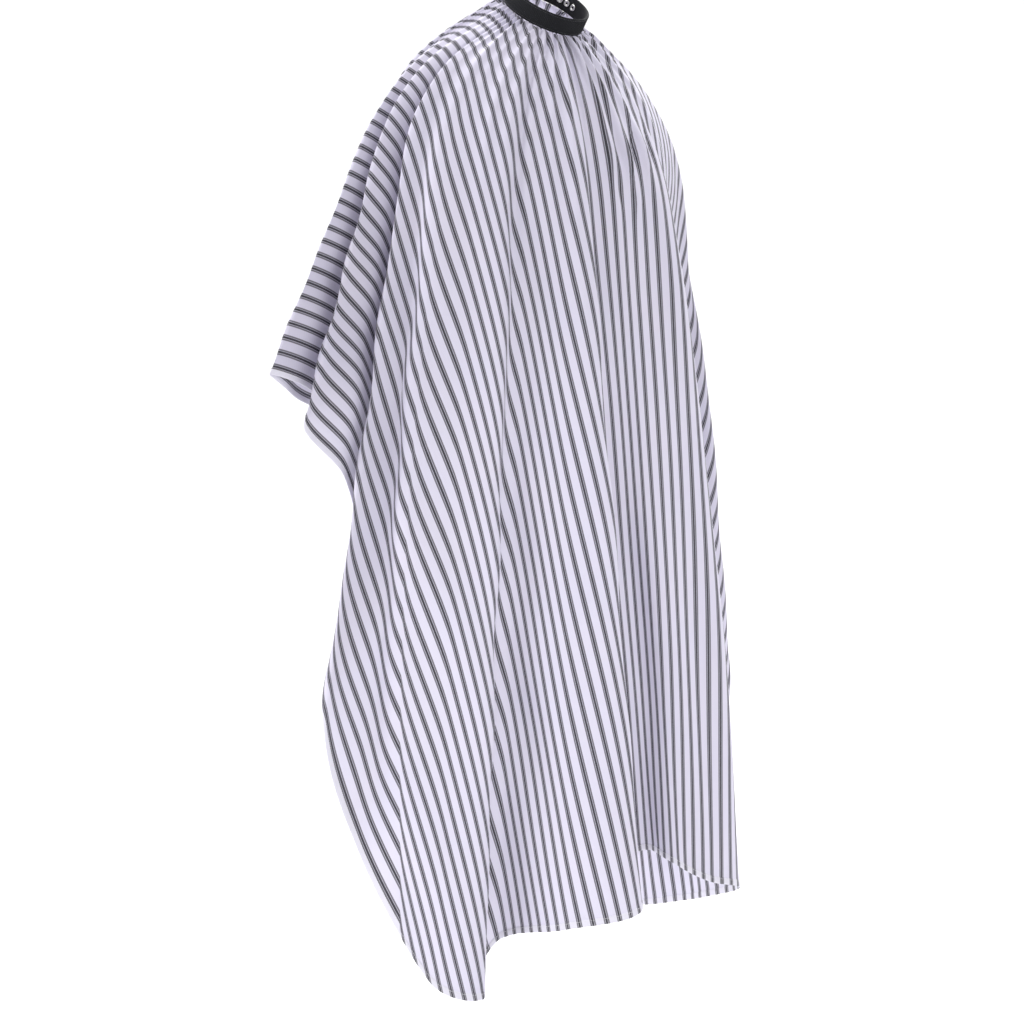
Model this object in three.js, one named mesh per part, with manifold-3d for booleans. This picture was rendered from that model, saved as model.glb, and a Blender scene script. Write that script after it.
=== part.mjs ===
// Barber cape: one large striped sheet with a gathered neck hole, worn over the shoulders.
//
// Millimetres, +Z up. The origin is the centre of the neckband, the wearer faces -Y and the
// wearer's left is +X. The cloth is shown as it hangs on a standing wearer whose right elbow
// is held out and whose left arm hangs down.
//
// A point of the cloth is named by its place on the flat sheet: u across (wearer's left
// positive) and v along (back positive), both measured from the centre of the neck hole.

import * as THREE from 'three';
import Module from 'manifold-3d';
import { mergeVertices } from 'three/addons/utils/BufferGeometryUtils.js';

// ---------------------------------------------------------------- driving dimensions

const SHEET_WIDTH = 1450; // side edge to side edge, laid flat
const SHEET_FRONT = 1250; // neck centre to front edge, laid flat
const SHEET_BACK = 350; // neck centre to back edge, laid flat
const NECK_HOLE_R = 82; // cut radius of the neck hole before it is gathered
const HEM = 9; // width of the turned hems
const CLOTH_T = 1.4; // drawn thickness of one layer
const HEM_T = 1.6; // drawn thickness of a turned hem
const GAP = 0.3; // clearance between touching pieces
const FOLD_GAP = 2.6; // clearance between pieces of cloth, which curve together

const BAND_R = 60; // outer radius of the closed neckband
const BAND_H = 25; // height of the ribbed band
const BAND_TILT = 38; // degrees, the band sits lower at the throat
const ELASTIC_T = 1.6;
const LINING_T = 1;
const BAND_END = 178; // degrees from the throat to each end of the band
const FLARE_START = -150; // the right-hand end swings outward past this angle
const FLARE = 5.6; // to lie over the other end

const TAB_FROM = 181.6; // degrees from the throat, root of the overlapping tab
const TAB_TO = 141.5; // free end of the tab
const STUD_FIRST = 160; // degrees from the throat, stud nearest the closing slit
const STUD_STEP = 12;
const STUD_COUNT = 6;
const SNAP_COUNT = 2; // studs that the closed tab takes up
const SNAP_R = 4.6; // radius of a snap's base
const STUD_R = 2.1; // radius of a stud's head
const SOCKET_HOLE_R = 3.2;
const CAP_R = 5.5;

const SHOULDER_HALF = 238; // half the width over both shoulders
const CHEST_DEPTH = 116; // neck centre to the front of the chest
const BACK_DEPTH = 108; // neck centre to the shoulder blades
const BEND = 120; // length over which the cloth turns down at the shoulder

const side = SHEET_WIDTH / 2;
const front = -SHEET_FRONT;
const back = SHEET_BACK;

// How the sheet hangs, as lines from the neck over the shoulder to the edge. Each line has the
// direction in which it leaves the neck, in degrees from straight ahead (wearer's left
// positive), how far it is pushed out at the shoulder, how far its middle bows to the wearer's
// left, where it ends on the flat sheet and where that end hangs. A fold is an outer line
// beside one that is tucked in behind it.
const HANGING_LINES = [
  [-179, 0, 0, [-1, back], [-5, 135, -225]],
  [-150, 0, 0, [-202, back], [-150, 168, -250]],
  [-134, 0, 0, [-417, back], [-202, 163, -345]],
  [-122, 0, 0, [-side, back], [-184, 84, -612]],
  [-115, 0, 0, [-side, 200], [-228, 112, -585]],
  [-111, -2, 0, [-side, 90], [-286, 92, -572]],
  [-106, 0, 0, [-side, -30], [-363, 57, -556]],
  [-100, 4, 0, [-side, -150], [-458, 4, -526]],
  [-95, 4, 0, [-side, -225], [-446, -16, -556]],
  [-90, 8, 0, [-side, -275], [-418, -15, -589]],
  [-84, 0, 0, [-side, -370], [-372, -8, -651]],
  [-80, 0, 0, [-side, -520], [-350, 0, -752]],
  [-76, 6, 0, [-side, -800], [-387, -15, -964]],
  [-68, 2, 0, [-side, -1010], [-336, -14, -1121]],
  [-60, 0, -30, [-side, front], [-291, -50, -1242]],
  [-46, 0, 0, [-665, front], [-260, -85, -1309]],
  [-33, 5, 0, [-578, front], [-205, -115, -1325]],
  [-30, -6, 0, [-528, front], [-192, -86, -1295]],
  [-25, 0, 0, [-478, front], [-154, -86, -1257]],
  [-15, 2, 0, [-335, front], [-112, -167, -1239]],
  [-6, 3, 0, [-205, front], [-36, -231, -1215]],
  [-2, -6, 0, [-110, front], [-2, -150, -1168]],
  [3, 0, 0, [-20, front], [44, -156, -1150]],
  [10, 2, 6, [70, front], [61, -195, -1167]],
  [19, 3, 16, [150, front], [115, -201, -1194]],
  [31, 6, 24, [229, front], [185, -195, -1209]],
  [38, -3, 16, [350, front], [219, -79, -1241]],
  [46, 0, 10, [470, front], [200, 15, -1260]],
  [53, 0, 6, [598, front], [170, 80, -1262]],
  [60, 0, 6, [side, front], [250, 90, -1245]],
  [68, 0, 8, [side, -1010], [305, 60, -1125]],
  [75, 2, 8, [side, -800], [366, 10, -965]],
  [80, 0, 8, [side, -520], [347, 48, -755]],
  [85, 0, 6, [side, -370], [341, 76, -665]],
  [90, 2, 4, [side, -275], [346, 82, -612]],
  [95, 0, 0, [side, -225], [347, 88, -586]],
  [100, 0, 0, [side, -150], [345, 94, -562]],
  [106, 0, 0, [side, -30], [322, 104, -562]],
  [111, -2, 0, [side, 90], [286, 116, -574]],
  [115, 0, 0, [side, 200], [264, 170, -560]],
  [122, 0, 0, [side, back], [184, 84, -612]],
  [134, 0, 0, [417, back], [202, 163, -345]],
  [150, 0, 0, [202, back], [150, 168, -250]],
  [179, 0, 0, [1, back], [5, 135, -225]],
];

// ---------------------------------------------------------------- small helpers

const wasm = await Module();
wasm.setup();

const rad = (degrees) => THREE.MathUtils.degToRad(degrees);

function toManifold(geometry) {
  const bare = geometry.clone();
  bare.deleteAttribute('normal');
  bare.deleteAttribute('uv');
  const merged = mergeVertices(bare, 1e-4);
  const vertProperties = new Float32Array(merged.attributes.position.array);
  const triVerts = new Uint32Array(merged.index.array);
  return new wasm.Manifold(new wasm.Mesh({ numProp: 3, vertProperties, triVerts }));
}

function fromManifold(solid) {
  const result = solid.getMesh();
  const geometry = new THREE.BufferGeometry();
  geometry.setAttribute('position', new THREE.BufferAttribute(result.vertProperties, 3));
  geometry.setIndex(new THREE.BufferAttribute(result.triVerts, 1));
  return geometry;
}

// A closed slab between two matching grids of points, each grid[row][column]. Seen from
// outside, the first grid's rows run anticlockwise of its columns.
function slab(top, bottom) {
  const rows = top.length;
  const columns = top[0].length;
  const positions = [...top.flat(), ...bottom.flat()].flatMap((p) => [p.x, p.y, p.z]);
  const index = [];
  const upper = (i, j) => i * columns + j;
  const lower = (i, j) => rows * columns + i * columns + j;
  const quad = (a, b, c, d) => index.push(a, b, c, a, c, d);
  for (let i = 0; i < rows - 1; i += 1) {
    for (let j = 0; j < columns - 1; j += 1) {
      quad(upper(i, j), upper(i + 1, j), upper(i + 1, j + 1), upper(i, j + 1));
      quad(lower(i, j), lower(i, j + 1), lower(i + 1, j + 1), lower(i + 1, j));
    }
  }
  for (let i = 0; i < rows - 1; i += 1) {
    quad(upper(i, 0), lower(i, 0), lower(i + 1, 0), upper(i + 1, 0));
    quad(upper(i, columns - 1), upper(i + 1, columns - 1), lower(i + 1, columns - 1), lower(i, columns - 1));
  }
  for (let j = 0; j < columns - 1; j += 1) {
    quad(upper(0, j), upper(0, j + 1), lower(0, j + 1), lower(0, j));
    quad(upper(rows - 1, j), lower(rows - 1, j), lower(rows - 1, j + 1), upper(rows - 1, j + 1));
  }
  const geometry = new THREE.BufferGeometry();
  geometry.setAttribute('position', new THREE.Float32BufferAttribute(positions, 3));
  geometry.setIndex(index);
  return geometry;
}

// ---------------------------------------------------------------- materials

function finish(name, color, roughness, metalness = 0) {
  return new THREE.MeshStandardMaterial({ name, color, roughness, metalness });
}

const clothFinish = () => finish('striped polyester', 0xe3e0ee, 0.55);
const hemFinish = () => finish('turned hem', 0xf0eef6, 0.6);
const elasticFinish = () => finish('black ribbed elastic', 0x14161c, 0.8);
const liningFinish = () => finish('black lining tape', 0x1b1c22, 0.85);
const snapFinish = () => finish('black enamelled snap', 0x22242a, 0.35, 0.6);
const metalFinish = () => finish('nickel snap', 0xb9bbc0, 0.3, 0.9);

// ---------------------------------------------------------------- the neckband's own axes

const tilt = rad(BAND_TILT);
const bandAxis = new THREE.Vector3(0, -Math.sin(tilt), Math.cos(tilt));
const throatward = new THREE.Vector3(0, -Math.cos(tilt), -Math.sin(tilt));
const leftward = new THREE.Vector3(1, 0, 0);

// The way out of the neck at an angle measured from the throat towards the wearer's left.
function outward(angle) {
  return new THREE.Vector3()
    .addScaledVector(throatward, Math.cos(rad(angle)))
    .addScaledVector(leftward, Math.sin(rad(angle)));
}

function bandPoint(angle, radius, height) {
  return outward(angle).multiplyScalar(radius).addScaledVector(bandAxis, height);
}

// A curved strip of the band between two angles; lift(angle) moves it outward.
function bandStrip({ from, to, innerR, thickness, height, steps, lift = () => 0 }) {
  const outer = [];
  const inner = [];
  for (let i = 0; i <= steps; i += 1) {
    const angle = THREE.MathUtils.lerp(from, to, i / steps);
    const r = innerR + lift(angle);
    outer.push([-height / 2, height / 2].map((h) => bandPoint(angle, r + thickness, h)));
    inner.push([-height / 2, height / 2].map((h) => bandPoint(angle, r, h)));
  }
  return slab(outer, inner);
}

const bandFlare = (angle) => FLARE * THREE.MathUtils.smoothstep(-angle, -FLARE_START, BAND_END);

// ---------------------------------------------------------------- how the cloth hangs

// Where the flat direction through a point meets the sheet's outline.
function outlinePoint(u, v) {
  const scale = Math.min(side / (Math.abs(u) || 1e-9), v < 0 ? front / v : back / (v || 1e-9));
  return [u * scale, v * scale];
}

// How far a point of the outline is along it, from the closing slit past the right-hand side.
function outlineTravel([u, v]) {
  const height = SHEET_FRONT + SHEET_BACK;
  if (v > back - 1e-6) return u <= 0 ? -u : 2 * SHEET_WIDTH + 2 * height - u;
  if (u < -side + 1e-6) return side + back - v;
  if (v < front + 1e-6) return SHEET_WIDTH + height + u;
  return side + height + SHEET_WIDTH + v - front;
}

const knots = HANGING_LINES.map(([, , , end]) => outlineTravel(end));

// Everything about the line that ends at one place on the outline, on a smooth curve through
// HANGING_LINES: its direction, push and bow and its hanging end.
function lineAt(travel) {
  const last = HANGING_LINES.length - 1;
  let i = 0;
  while (i < last - 1 && knots[i + 1] < travel) i += 1;
  const at = (k) => THREE.MathUtils.clamp(k, 0, last);
  const values = (k) => {
    const [, push, bow, , place] = HANGING_LINES[at(k)];
    return [push, bow, ...place];
  };
  const span = knots[i + 1] - knots[i];
  const t = THREE.MathUtils.clamp((travel - knots[i]) / span, 0, 1);
  const slope = (k, j) => (values(k + 1)[j] - values(k - 1)[j]) / (knots[at(k + 1)] - knots[at(k - 1)]);
  const [push, bow, ...place] = values(i).map((value, j) => (
    value * (2 * t ** 3 - 3 * t ** 2 + 1)
    + slope(i, j) * span * (t ** 3 - 2 * t ** 2 + t)
    + values(i + 1)[j] * (3 * t ** 2 - 2 * t ** 3)
    + slope(i + 1, j) * span * (t ** 3 - t ** 2)
  ));
  const turn = THREE.MathUtils.lerp(HANGING_LINES[i][0], HANGING_LINES[i + 1][0], t);
  return { turn, push, bow, edge: new THREE.Vector3(...place) };
}

// The seam under the band, the shoulder where the cloth turns down, and the hanging edge.
function hangingLine(travel) {
  const { turn, push, bow, edge } = lineAt(travel);
  const seam = bandPoint(turn, BAND_R - ELASTIC_T, -BAND_H / 2 - GAP - CLOTH_T / 2);
  const forward = Math.cos(rad(turn));
  const depth = forward > 0 ? CHEST_DEPTH : BACK_DEPTH;
  const shoulder = new THREE.Vector3(
    (SHOULDER_HALF + push) * Math.sin(rad(turn)),
    15 - (depth + push) * forward,
    -118 - 52 * forward,
  );
  return { seam, shoulder, edge, bow };
}

// The hanging place of a point of the flat sheet.
function drape(u, v) {
  const end = outlinePoint(u, v);
  const reach = (Math.hypot(u, v) - NECK_HOLE_R) / (Math.hypot(...end) - NECK_HOLE_R);
  const { seam, shoulder, edge, bow } = hangingLine(outlineTravel(end));
  const upper = seam.distanceTo(shoulder);
  const lower = shoulder.distanceTo(edge);
  const bend = Math.min(BEND, upper, lower);
  const along = reach * (upper + lower) - upper;
  if (along < -bend) return seam.lerp(shoulder, 1 + along / upper);
  const sideways = bow * Math.sin(Math.PI * THREE.MathUtils.clamp(along / lower, 0, 1));
  if (along > bend) {
    const place = shoulder.lerp(edge, along / lower);
    place.x += sideways;
    return place;
  }
  const start = shoulder.clone().lerp(seam, bend / upper);
  const finish = shoulder.clone().lerp(edge, bend / lower);
  const t = (along + bend) / (2 * bend);
  const place = start.multiplyScalar((1 - t) ** 2)
    .addScaledVector(shoulder, 2 * t * (1 - t))
    .addScaledVector(finish, t ** 2);
  place.x += sideways;
  return place;
}

// A patch of cloth from lines of points on the flat sheet. The lines run one after another
// anticlockwise, seen from outside, and each line runs outward.
function clothPatch(lines, thickness) {
  const probe = 0.5;
  const outer = [];
  const inner = [];
  for (const line of lines) {
    const outerRow = [];
    const innerRow = [];
    for (const [u, v] of line) {
      const place = drape(u, v);
      const across = drape(u + probe, v).sub(drape(u - probe, v));
      const along = drape(u, v - probe).sub(drape(u, v + probe));
      const normal = along.cross(across).normalize().multiplyScalar(thickness / 2);
      outerRow.push(place.clone().add(normal));
      innerRow.push(place.clone().sub(normal));
    }
    outer.push(outerRow);
    inner.push(innerRow);
  }
  return slab(inner, outer);
}

// ---------------------------------------------------------------- cape panel and its hems

const SLIT = 1.2; // half the width of the closing slit
const inset = HEM + FOLD_GAP; // from the sheet's edge to the edge of its single layer
const OUTLINE_STEP = 62; // longest step along the outline
const RADIAL_STEPS = 14;

// The sectors of the panel, in order round the neck hole, and the hanging line each starts at.
const SECTORS = [
  ['back_right', 0],
  ['sleeve_right', 5],
  ['side_right', 10],
  ['front_right', 13],
  ['front_middle', 19],
  ['front_left', 25],
  ['side_left', 30],
  ['sleeve_left', 35],
  ['back_left', 38],
];

// Evenly spaced points from one place on the flat sheet to another, both ends included.
function stations(from, to, steps) {
  return Array.from({ length: steps + 1 }, (_, i) => [
    THREE.MathUtils.lerp(from[0], to[0], i / steps),
    THREE.MathUtils.lerp(from[1], to[1], i / steps),
  ]);
}

const slitU = SLIT + inset;
const sideU = side - inset;
const backV = back - inset;
const frontV = front + inset;

// The place on the single layer's outline where a hanging line ends.
function layerEnd([, , , [u, v]]) {
  if (Math.abs(u) < slitU && v === back) return [Math.sign(u) * slitU, backV];
  return [THREE.MathUtils.clamp(u, -sideU, sideU), THREE.MathUtils.clamp(v, frontV, backV)];
}

// The single layer's outline between two hanging lines, both ends included.
function outline(from, to) {
  const ends = HANGING_LINES.slice(from, to + 1).map(layerEnd);
  const points = [ends[0]];
  for (let k = 0; k < to - from; k += 1) {
    const [[u, v], [nextU, nextV]] = [ends[k], ends[k + 1]];
    const steps = Math.ceil(Math.hypot(nextU - u, nextV - v) / OUTLINE_STEP);
    points.push(...stations(ends[k], ends[k + 1], steps).slice(1));
  }
  return points;
}

const lastLine = HANGING_LINES.length - 1;
const corners = HANGING_LINES.flatMap(([, , , [u, v]], i) => (
  Math.abs(u) === side && (v === back || v === front) ? [i] : []
));
const backRight = outline(0, corners[0]);
const rightSide = outline(corners[0], corners[1]);
const frontEdge = outline(corners[1], corners[2]);
const leftSide = outline(corners[2], corners[3]);
const backLeft = outline(corners[3], lastLine);

function neckStart(u, v) {
  const limit = Math.PI - slitU / NECK_HOLE_R;
  const angle = THREE.MathUtils.clamp(Math.atan2(u, -v), -limit, limit);
  return [NECK_HOLE_R * Math.sin(angle), -NECK_HOLE_R * Math.cos(angle)];
}

// A line of points moved a little way towards the next line.
function drawnBack(line, next) {
  return line.map(([u, v], k) => {
    const across = [next[k][0] - u, next[k][1] - v];
    const share = FOLD_GAP / 2 / Math.hypot(...across);
    return [u + across[0] * share, v + across[1] * share];
  });
}

// The single layer, line by line round the neck hole. It is one sheet on the real cape, drawn as
// neighbouring sectors that each fan out from the neck hole, so that no piece bends right round
// the wearer.
function panelSectors() {
  return SECTORS.map(([name, from], i) => {
    const to = i < SECTORS.length - 1 ? SECTORS[i + 1][1] : lastLine;
    const lines = outline(from, to).map(([u, v]) => (
      stations(neckStart(u, v), [u, v], RADIAL_STEPS)
    ));
    const last = lines.length - 1;
    const [first, end] = [drawnBack(lines[0], lines[1]), drawnBack(lines[last], lines[last - 1])];
    if (from > 0) lines[0] = first;
    if (to < lastLine) lines[last] = end;
    return [name, clothPatch(lines, CLOTH_T)];
  });
}

// A hem is the last strip of cloth along one side of the sheet: an edge of the single layer
// moved outward, with its corners when it takes them.
function hem(edge, [du, dv]) {
  const lines = edge.map(([u, v]) => [
    [u + du * FOLD_GAP, v + dv * FOLD_GAP],
    [u + du * inset, v + dv * inset],
  ]);
  return clothPatch(lines, HEM_T);
}

function withCorners(edge, dv) {
  const [u, v] = edge[0];
  const [endU, endV] = edge.at(-1);
  return [[u, v + dv * inset], ...edge, [endU, endV - dv * inset]];
}

const group = new THREE.Group();

function addPiece(name, geometry, material) {
  const mesh = new THREE.Mesh(geometry, material);
  mesh.name = name;
  group.add(mesh);
  return mesh;
}

for (const [name, geometry] of panelSectors()) {
  addPiece(`cape_panel_${name}`, geometry, clothFinish());
}
addPiece('hem_right', hem(withCorners(rightSide, 1), [-1, 0]), hemFinish());
addPiece('hem_front', hem(frontEdge, [0, -1]), hemFinish());
addPiece('hem_left', hem(withCorners(leftSide, -1), [1, 0]), hemFinish());
addPiece('hem_back_right', hem(backRight, [0, 1]), hemFinish());
addPiece('hem_back_left', hem(backLeft, [0, 1]), hemFinish());

const slitRight = stations(neckStart(-slitU, backV), [-slitU, backV], RADIAL_STEPS);
const slitLeft = stations([slitU, backV], neckStart(slitU, backV), RADIAL_STEPS);
addPiece('slit_hem_right', hem([...slitRight, [-slitU, back]], [1, 0]), hemFinish());
addPiece('slit_hem_left', hem([[slitU, back], ...slitLeft], [-1, 0]), hemFinish());

// ---------------------------------------------------------------- neckband

const elasticInner = BAND_R - ELASTIC_T;
const liningInner = elasticInner - GAP - LINING_T;
const bandSpan = { from: -BAND_END, to: BAND_END, height: BAND_H, steps: 60, lift: bandFlare };
addPiece(
  'neckband_elastic',
  bandStrip({ ...bandSpan, innerR: elasticInner, thickness: ELASTIC_T }),
  elasticFinish(),
);
addPiece(
  'neckband_lining',
  bandStrip({ ...bandSpan, innerR: liningInner, thickness: LINING_T }),
  liningFinish(),
);

// ---------------------------------------------------------------- snaps

// Turn a lathe profile, drawn outward along +Y, to stand on the band at an angle.
function onBand(geometry, angle, radius) {
  const place = new THREE.Matrix4().makeBasis(
    bandAxis.clone().cross(outward(angle)).negate(),
    outward(angle),
    bandAxis,
  );
  place.setPosition(bandPoint(angle, radius, 0));
  return geometry.applyMatrix4(place);
}

function turned(profile, sides) {
  return new THREE.LatheGeometry(profile.map(([r, y]) => new THREE.Vector2(r, y)), sides);
}

// Stud: a flat base with a mushroom head that snaps into a socket.
function stud() {
  return turned([[0, 0], [SNAP_R, 0], [SNAP_R, 0.7], [1.7, 0.8], [STUD_R, 1.9], [1.6, 2.4], [0, 2.5]], 16);
}

// Stud back: a ring behind the band that the stud is clenched to.
function studBack() {
  return turned([[1.6, 0], [SNAP_R, 0], [SNAP_R, 0.5], [3.4, 0.8], [1.6, 0.8], [1.6, 0]], 16);
}

// Socket: a cup that faces the stud, open on the stud's side.
function socket() {
  const cup = toManifold(turned([[0, 0], [SNAP_R, 0], [SNAP_R, 1.8], [3.8, 2.5], [0, 2.5]], 20));
  const hollow = toManifold(turned([[0, -0.5], [SOCKET_HOLE_R, -0.5], [SOCKET_HOLE_R, 1.8], [0, 1.8]], 20));
  return fromManifold(cup.subtract(hollow));
}

// Cap: the low dome that shows on the outside of the tab.
function cap() {
  return turned([[0, 0], [CAP_R, 0], [CAP_R, 0.5], [4.6, 1.1], [2.6, 1.5], [0, 1.6]], 20);
}

const studBase = BAND_R + GAP;
const studBackBase = liningInner - GAP - 0.8;
for (let i = 0; i < STUD_COUNT; i += 1) {
  const angle = STUD_FIRST - i * STUD_STEP;
  addPiece(`snap_stud_${i + 1}`, onBand(stud(), angle, studBase), metalFinish());
  addPiece(`snap_stud_back_${i + 1}`, onBand(studBack(), angle, studBackBase), metalFinish());
}

// ---------------------------------------------------------------- closing tab

const socketBase = studBase + 1.1;
const tabLiningInner = socketBase + 2.5 + GAP;
const tabElasticInner = tabLiningInner + LINING_T + GAP;
const tabSpan = { from: TAB_TO, to: TAB_FROM, height: BAND_H, steps: 10 };
for (let i = 0; i < SNAP_COUNT; i += 1) {
  const angle = STUD_FIRST - i * STUD_STEP;
  addPiece(`snap_socket_${i + 1}`, onBand(socket(), angle, socketBase), metalFinish());
  addPiece(
    `snap_cap_${i + 1}`,
    onBand(cap(), angle, tabElasticInner + ELASTIC_T + GAP),
    snapFinish(),
  );
}
addPiece(
  'closing_tab_lining',
  bandStrip({ ...tabSpan, innerR: tabLiningInner, thickness: LINING_T }),
  liningFinish(),
);
addPiece(
  'closing_tab_elastic',
  bandStrip({ ...tabSpan, innerR: tabElasticInner, thickness: ELASTIC_T }),
  elasticFinish(),
);

export default group;
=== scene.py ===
# %% [markdown]
# A barber cape is one big sheet of thin striped polyester with a hole for the neck. The hole
# is gathered into a ribbed elastic band, and the sheet falls from there over the shoulders.
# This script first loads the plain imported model, which fixes every size and place. Each soft
# piece is then made again with its real surface: folds, pinstripes, hems, stitches and ribs.

import math

import bmesh
import bpy
import numpy as np
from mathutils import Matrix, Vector


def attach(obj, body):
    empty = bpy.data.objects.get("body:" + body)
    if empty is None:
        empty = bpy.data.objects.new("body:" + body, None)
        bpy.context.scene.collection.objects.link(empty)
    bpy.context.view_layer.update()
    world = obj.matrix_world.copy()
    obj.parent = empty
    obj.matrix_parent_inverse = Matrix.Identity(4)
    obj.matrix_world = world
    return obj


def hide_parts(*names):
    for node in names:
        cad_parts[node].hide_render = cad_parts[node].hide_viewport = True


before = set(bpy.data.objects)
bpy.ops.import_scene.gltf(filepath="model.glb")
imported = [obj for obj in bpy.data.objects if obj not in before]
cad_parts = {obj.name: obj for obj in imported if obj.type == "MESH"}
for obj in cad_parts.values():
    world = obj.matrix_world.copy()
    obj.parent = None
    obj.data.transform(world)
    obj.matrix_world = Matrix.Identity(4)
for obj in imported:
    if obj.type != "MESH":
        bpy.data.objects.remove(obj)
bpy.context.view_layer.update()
MM = 0.001

# %% [markdown]
# The camera stands level with the middle of the cape, in front and to the wearer's right. A
# long lens from a few metres away keeps the upright folds nearly parallel, as a product
# picture does.

# %% Camera
CAMERA_TURN = math.radians(-40)
CAMERA_DISTANCE = 3.4
CAMERA_LENS = 86.8
AIM_TO_RIGHT = -0.0468
AIM_HEIGHT = -0.697
to_right = Vector((math.cos(CAMERA_TURN), math.sin(CAMERA_TURN), 0))
to_camera = Vector((math.sin(CAMERA_TURN), -math.cos(CAMERA_TURN), 0))
aim = to_right * AIM_TO_RIGHT + Vector((0, 0, AIM_HEIGHT))

camera_data = bpy.data.cameras.new("camera")
camera_data.lens = CAMERA_LENS
camera = bpy.data.objects.new("camera", camera_data)
camera.location = aim + to_camera * CAMERA_DISTANCE
camera.rotation_euler = (aim - camera.location).to_track_quat("-Z", "Y").to_euler()
bpy.context.scene.collection.objects.link(camera)
bpy.context.scene.camera = camera
print("camera at", [round(c, 2) for c in camera.location])

# %% [markdown]
# Every piece below is made from a grid of points: so many lines side by side, each with the
# same number of points. One helper turns such a grid into a mesh. It can close the grid into
# a tube across its lines, and it can store each point's place on the flat cloth as a UV map,
# so that a pattern follows the folds.


# %% Helper: a mesh from a grid of points
def grid_mesh(name, points, flat=None, closed=False):
    lines, count = points.shape[:2]
    index = np.arange(lines * count).reshape(lines, count)
    if closed:
        index = np.concatenate([index, index[:, :1]], axis=1)
    quads = np.stack([index[:-1, :-1], index[:-1, 1:], index[1:, 1:], index[1:, :-1]], axis=-1)
    mesh = bpy.data.meshes.new(name)
    mesh.from_pydata(points.reshape(-1, 3).tolist(), [], quads.reshape(-1, 4).tolist())
    if flat is not None:
        corner = np.empty(len(mesh.loops), np.int32)
        mesh.loops.foreach_get("vertex_index", corner)
        layer = mesh.uv_layers.new(name="flat")
        layer.data.foreach_set("uv", flat.reshape(-1, 2)[corner].astype(np.float32).ravel())
    mesh.polygons.foreach_set("use_smooth", [True] * len(mesh.polygons))
    piece = bpy.data.objects.new(name, mesh)
    bpy.context.scene.collection.objects.link(piece)
    return piece


# %% [markdown]
# The studio is a pale floor that sweeps up behind into a plain wall, so there is no horizon.
# The wearer isn't modelled, and the cape hangs where it was worn, so the floor lies where the
# wearer's feet would be.

# %% Floor and backdrop
FLOOR_Z = -1.46
SWEEP = 1.6
SWEEP_START = 1.6
FLOOR_IN_FRONT = 6.0
FLOOR_HALF_WIDTH = 7
WALL_HEIGHT = 5.0
floor_profile = [(-FLOOR_IN_FRONT, 0.0)]
floor_profile += [
    (SWEEP_START + SWEEP * math.sin(math.radians(a)), SWEEP * (1 - math.cos(math.radians(a))))
    for a in range(0, 91, 5)
]
floor_profile.append((SWEEP_START + SWEEP, WALL_HEIGHT))
away = -to_camera
sweep_points = np.array([
    [list(to_right * side + away * back + Vector((0, 0, FLOOR_Z + up))) for back, up in floor_profile]
    for side in np.linspace(-FLOOR_HALF_WIDTH, FLOOR_HALF_WIDTH, 3)
])
floor = grid_mesh("studio_floor", sweep_points)


# %% [markdown]
# Soft light comes from large panels. The key is high on the left of the camera, a fill on the
# right keeps the shaded folds open, and a panel overhead lights the shoulders. The world
# itself adds an even pale glow.


# %% Lights
LIGHT_TARGET = Vector((0, 0, -0.6))
WORLD_GLOW = 0.78


def panel_light(name, across, towards_us, height, size, power):
    light = bpy.data.lights.new(name, "AREA")
    light.energy = power
    light.shape = "RECTANGLE"
    light.size = size[0]
    light.size_y = size[1]
    lamp = bpy.data.objects.new(name, light)
    lamp.location = to_right * across + to_camera * towards_us + Vector((0, 0, height))
    lamp.rotation_euler = (LIGHT_TARGET - lamp.location).to_track_quat("-Z", "Y").to_euler()
    bpy.context.scene.collection.objects.link(lamp)


panel_light("key", -2.6, 1.4, 1.0, (1.4, 2.0), 62)
panel_light("fill", 2.6, 2.4, 0.1, (1.8, 2.4), 14)
panel_light("overhead", 0.0, -0.2, 1.9, (2.6, 2.0), 20)
panel_light("backdrop_wash", 0.0, -1.2, 1.4, (4.0, 1.0), 90)

world = bpy.data.worlds.new("studio")
world.use_nodes = True
glow = world.node_tree.nodes["Background"]
glow.inputs["Color"].default_value = (1, 1, 1, 1)
glow.inputs["Strength"].default_value = WORLD_GLOW
bpy.context.scene.world = world
bpy.context.scene.view_settings.view_transform = "Standard"

# %% [markdown]
# The sheet is 145 cm wide and 160 cm long when it lies flat. The neck hole is near the back
# edge, so most of the cloth hangs in front. A point of the flat cloth is named by two
# numbers: how far it is to the wearer's left, and how far behind the neck centre.

# %% The flat sheet
SHEET_WIDTH = 1450
SHEET_FRONT = 1250
SHEET_BACK = 350
NECK_HOLE_R = 82
SIDE = SHEET_WIDTH / 2
FRONT = -SHEET_FRONT
BACK = SHEET_BACK
print("flat sheet in mm:", SHEET_WIDTH, "x", SHEET_FRONT + SHEET_BACK)

# %% [markdown]
# Cloth hangs in nearly straight lines between the place that holds it up and its free edge.
# The drape is therefore described by lines that start at the neck, cross the shoulder and
# end at the hem. A fold is an outer line beside one that is tucked in behind it. Along a line
# the hanging cloth is 0.92 to 1.02 times as long as the flat cloth, so it hardly stretches.
# Across the lines it is narrower: the hanging edge is 4.6 m round and the flat edge 6.1 m,
# because these few drawn folds take up less cloth than all the folds of a real sheet.
#
# Each line has the direction in which it leaves the neck, in degrees from straight ahead, how
# far it is pushed out at the shoulder, how far its middle bows to the wearer's left, where it
# ends on the flat sheet and where that end hangs. Lengths are in millimetres.

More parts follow.
